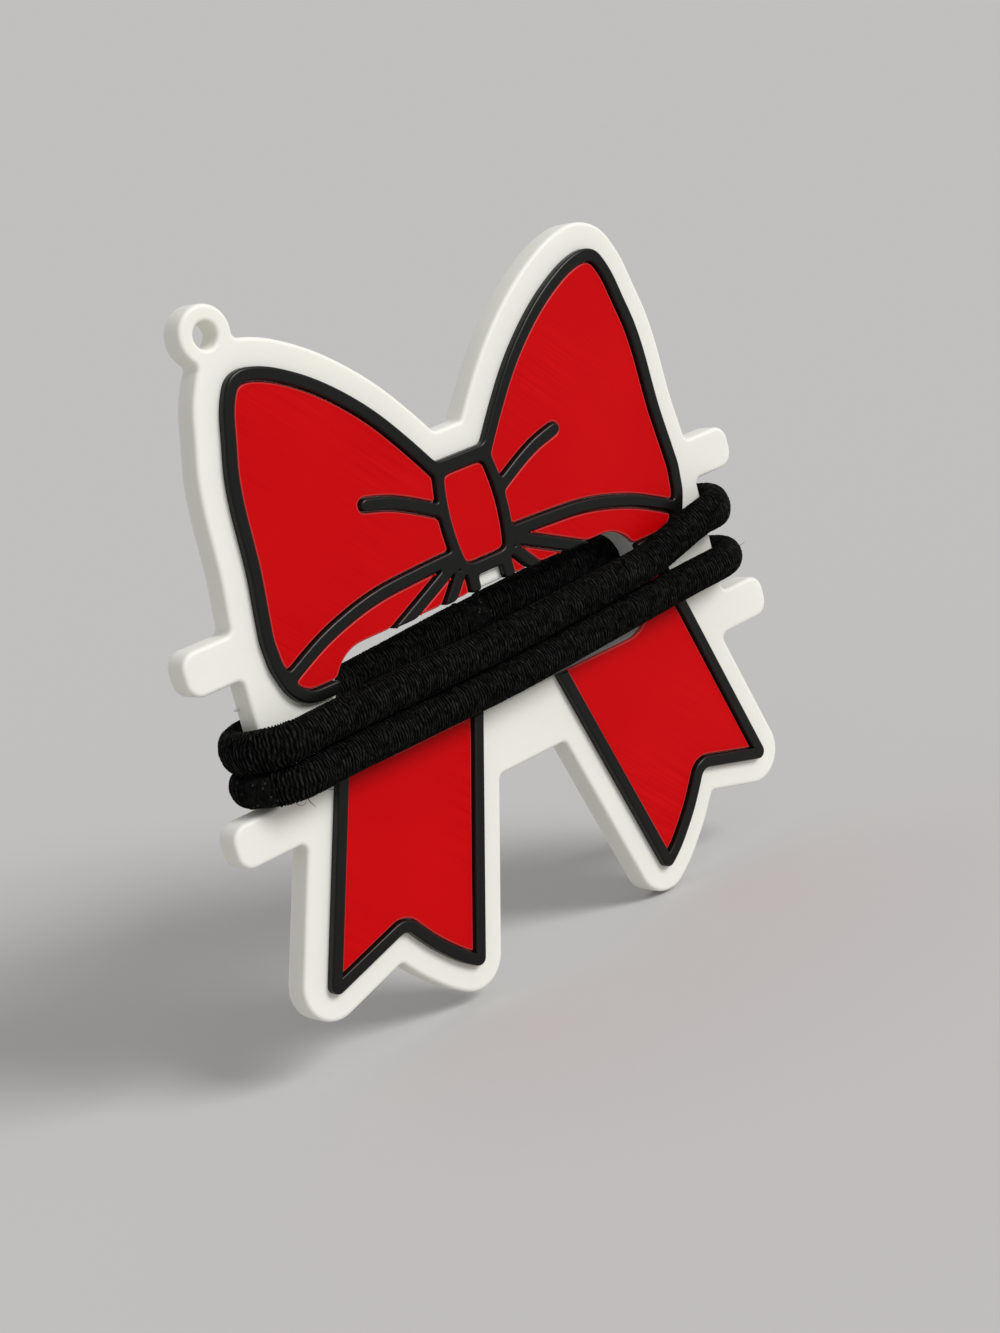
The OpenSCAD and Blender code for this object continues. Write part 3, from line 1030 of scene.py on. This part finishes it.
class TieLook(bpy.types.PropertyGroup):
    """Sizes and colour of the hair ties' thread."""

    pitch: bpy.props.FloatProperty(
        name="Rib pitch", description="From one rib to the next", default=0.39 * MM, unit="LENGTH"
    )
    height: bpy.props.FloatProperty(
        name="Rib height", description="Height of a rib", default=0.22 * MM, unit="LENGTH"
    )
    colour: bpy.props.FloatVectorProperty(
        name="Colour",
        description="Colour of the thread",
        default=(0.0030, 0.0030, 0.0028),
        subtype="COLOR",
    )
    fibres: bpy.props.FloatProperty(
        name="Fibres", description="Loose fibres on each square metre", default=90000.0
    )
    fibre_length: bpy.props.FloatProperty(
        name="Fibre length", description="Length of a loose fibre", default=0.9 * MM, unit="LENGTH"
    )


class StageLook(bpy.types.PropertyGroup):
    """The floor, the light and the camera."""

    floor: bpy.props.FloatVectorProperty(
        name="Floor",
        description="Colour of the floor",
        default=(0.60, 0.59, 0.575),
        subtype="COLOR",
    )
    key: bpy.props.FloatProperty(
        name="Key light", description="Strength of the soft key", default=2.25
    )
    spread: bpy.props.FloatProperty(
        name="Key spread",
        description="Angle that the key light spans",
        default=0.45,
        subtype="ANGLE",
    )
    sky: bpy.props.FloatProperty(name="Sky", description="Light from all round", default=0.50)
    lens: bpy.props.FloatProperty(
        name="Lens", description="Focal length on a 36 mm frame, in millimetres", default=67.52
    )


class HOLDER_OT_plate(bpy.types.Operator):
    """Make the white plate with its rounded front edge"""

    bl_idname = "holder.plate"
    bl_label = "Plate"

    def execute(self, context):
        look = context.scene.holder_plate
        white = printed_plastic("white_plastic", look.colour, look.colour, look)
        white.set(
            Subsurface_Weight=0.3, Subsurface_Radius=(1.0, 0.9, 0.7), Subsurface_Scale=1.6 * MM
        )
        piece = soft_edged("plate", PLATE, look.edge, white.material)
        dress(piece, "holder", "white_plastic", PLATE)
        beads = placed_piece("plate_beads", plastic_beads(), white.material)
        dress(beads, "holder", "white_plastic")
        return {"FINISHED"}


class HOLDER_OT_lines(bpy.types.Operator):
    """Make the raised black lines"""

    bl_idname = "holder.lines"
    bl_label = "Black lines"

    def execute(self, context):
        look = context.scene.holder_relief
        plate = context.scene.holder_plate
        black = printed_plastic("black_plastic", look.black, look.black, plate)
        relief(LINES, look.line_edge, look.worn, "black_plastic", black.material)
        return {"FINISHED"}


class HOLDER_OT_panels(bpy.types.Operator):
    """Make the red panels between the lines"""

    bl_idname = "holder.panels"
    bl_label = "Red panels"

    def execute(self, context):
        look = context.scene.holder_relief
        plate = context.scene.holder_plate
        # The red's rim colour is a painted highlight on the panels' edges
        red = printed_plastic("red_plastic", look.red, look.rim, plate)
        relief(PANELS, look.panel_edge, look.worn, "red_plastic", red.material, steps=3)
        return {"FINISHED"}


class HOLDER_OT_ties(bpy.types.Operator):
    """Make the two braided hair ties with their fused joints and loose fibres"""

    bl_idname = "holder.ties"
    bl_label = "Hair ties"

    def execute(self, context):
        look = context.scene.holder_ties
        thread = braided_thread("braided_thread", look.colour, False)
        fused = braided_thread("fused_joint", look.colour, True)
        loose = loose_fibre(look.colour)
        fibre = placed_piece("fibre", fibre_shape(1.0, 0.03), loose)
        for seed, which in enumerate(TIES, 1):
            names = TIES[which]
            route = TieRoute(which)
            tie = braid_piece(which, route, look, thread, seed)
            fuzz = fibres_piece(which, tie, look, fibre, loose, seed)
            bond = joint_piece(which, route, look, fused, seed)
            strays = placed_piece(which + "_stray_threads", stray_threads(which, route), loose)
            dress(tie, names["body"], "tie_fabric", names["tie"])
            dress(fuzz, names["body"], "tie_fabric")
            dress(strays, names["body"], "tie_fabric")
            dress(bond, names["body"], "tie_bond", names["bond"])
        bpy.data.objects.remove(fibre)
        return {"FINISHED"}


class HOLDER_OT_stage(bpy.types.Operator):
    """Make the floor, the lamps, the sky and the camera"""

    bl_idname = "holder.stage"
    bl_label = "Stage"

    def execute(self, context):
        look = context.scene.holder_stage
        scene = context.scene
        scene.view_settings.view_transform = "Standard"
        low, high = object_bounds()
        middle = (low + high) / 2
        ground = bmesh.new()
        bmesh.ops.create_grid(ground, x_segments=1, y_segments=1, size=FLOOR_SIZE)
        spot = (middle.x, middle.y, low.z - FLOOR_GAP)
        bmesh.ops.translate(ground, verts=ground.verts, vec=spot)
        placed_piece("floor", ground, matt_floor(look.floor))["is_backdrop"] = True
        self.key_light(scene, look)
        shine = look.key * KEY_FROM.z / math.pi + look.sky
        self.sky(scene, look.sky, rgba([c * shine for c in look.floor]))
        self.camera(scene, look.lens)
        return {"FINISHED"}

    def key_light(self, scene, look):
        """The soft key light."""
        data = bpy.data.lights.new("key_light", "SUN")
        data.energy = look.key
        data.angle = look.spread
        lamp = bpy.data.objects.new("key_light", data)
        lamp.matrix_world = (-KEY_FROM).to_track_quat("-Z", "Y").to_matrix().to_4x4()
        scene.collection.objects.link(lamp)

    def camera(self, scene, focal_length):
        """The camera, where the photo was taken from."""
        lens = bpy.data.cameras.new("camera")
        lens.lens = focal_length
        lens.sensor_width = 36.0
        lens.clip_start = 0.01
        camera = bpy.data.objects.new("camera", lens)
        turn = Matrix((CAMERA_RIGHT, -CAMERA_DOWN, -CAMERA_AHEAD)).transposed()
        camera.matrix_world = Matrix.Translation(CAMERA_AT) @ turn.to_4x4()
        scene.collection.objects.link(camera)
        scene.camera = camera

    def sky(self, scene, strength, seen_colour):
        """An even pale sky, which the camera sees in the colour of the far floor."""
        world = bpy.data.worlds.new("sky")
        world.use_nodes = True
        scene.world = world
        g = Graph(world.node_tree)
        g.tree.nodes.clear()
        seen = g.value("ShaderNodeLightPath", output="Is Camera Ray")
        light = (strength, strength, strength * 1.02, 1.0)
        back = g.node("ShaderNodeBackground", None, {"Color": g.mixed(seen, light, seen_colour)})
        out = g.node("ShaderNodeOutputWorld")
        g.tree.links.new(back.outputs[0], out.inputs["Surface"])


class HOLDER_PT_panel(bpy.types.Panel):
    """The holder's steps and settings."""

    bl_idname = "HOLDER_PT_panel"
    bl_label = "Hair Tie Holder"
    bl_space_type = "VIEW_3D"
    bl_region_type = "UI"
    bl_category = "Holder"

    def draw(self, context):
        layout = self.layout
        for name, steps in STEPS.items():
            look = getattr(context.scene, name)
            box = layout.box()
            for field in look.bl_rna.properties.keys():
                if field not in ("rna_type", "name"):
                    box.prop(look, field)
            for step in steps:
                box.operator(step.bl_idname)


STEPS = {
    "holder_plate": (HOLDER_OT_plate,),
    "holder_relief": (HOLDER_OT_lines, HOLDER_OT_panels),
    "holder_ties": (HOLDER_OT_ties,),
    "holder_stage": (HOLDER_OT_stage,),
}
LOOKS = {
    "holder_plate": PlateLook,
    "holder_relief": ReliefLook,
    "holder_ties": TieLook,
    "holder_stage": StageLook,
}
CLASSES = (*LOOKS.values(), *(step for steps in STEPS.values() for step in steps), HOLDER_PT_panel)


def register():
    """Adds the settings, operators and panel."""
    for cls in CLASSES:
        bpy.utils.register_class(cls)
    for name, look in LOOKS.items():
        setattr(bpy.types.Scene, name, bpy.props.PointerProperty(type=look))


def unregister():
    """Takes the settings, operators and panel away again."""
    for name in LOOKS:
        delattr(bpy.types.Scene, name)
    for cls in reversed(CLASSES):
        bpy.utils.unregister_class(cls)


def main():
    """Makes every piece and the stage."""
    register()
    bpy.ops.holder.plate()
    bpy.ops.holder.lines()
    bpy.ops.holder.panels()
    bpy.ops.holder.ties()
    bpy.ops.holder.stage()


if __name__ == "__main__":
    main()
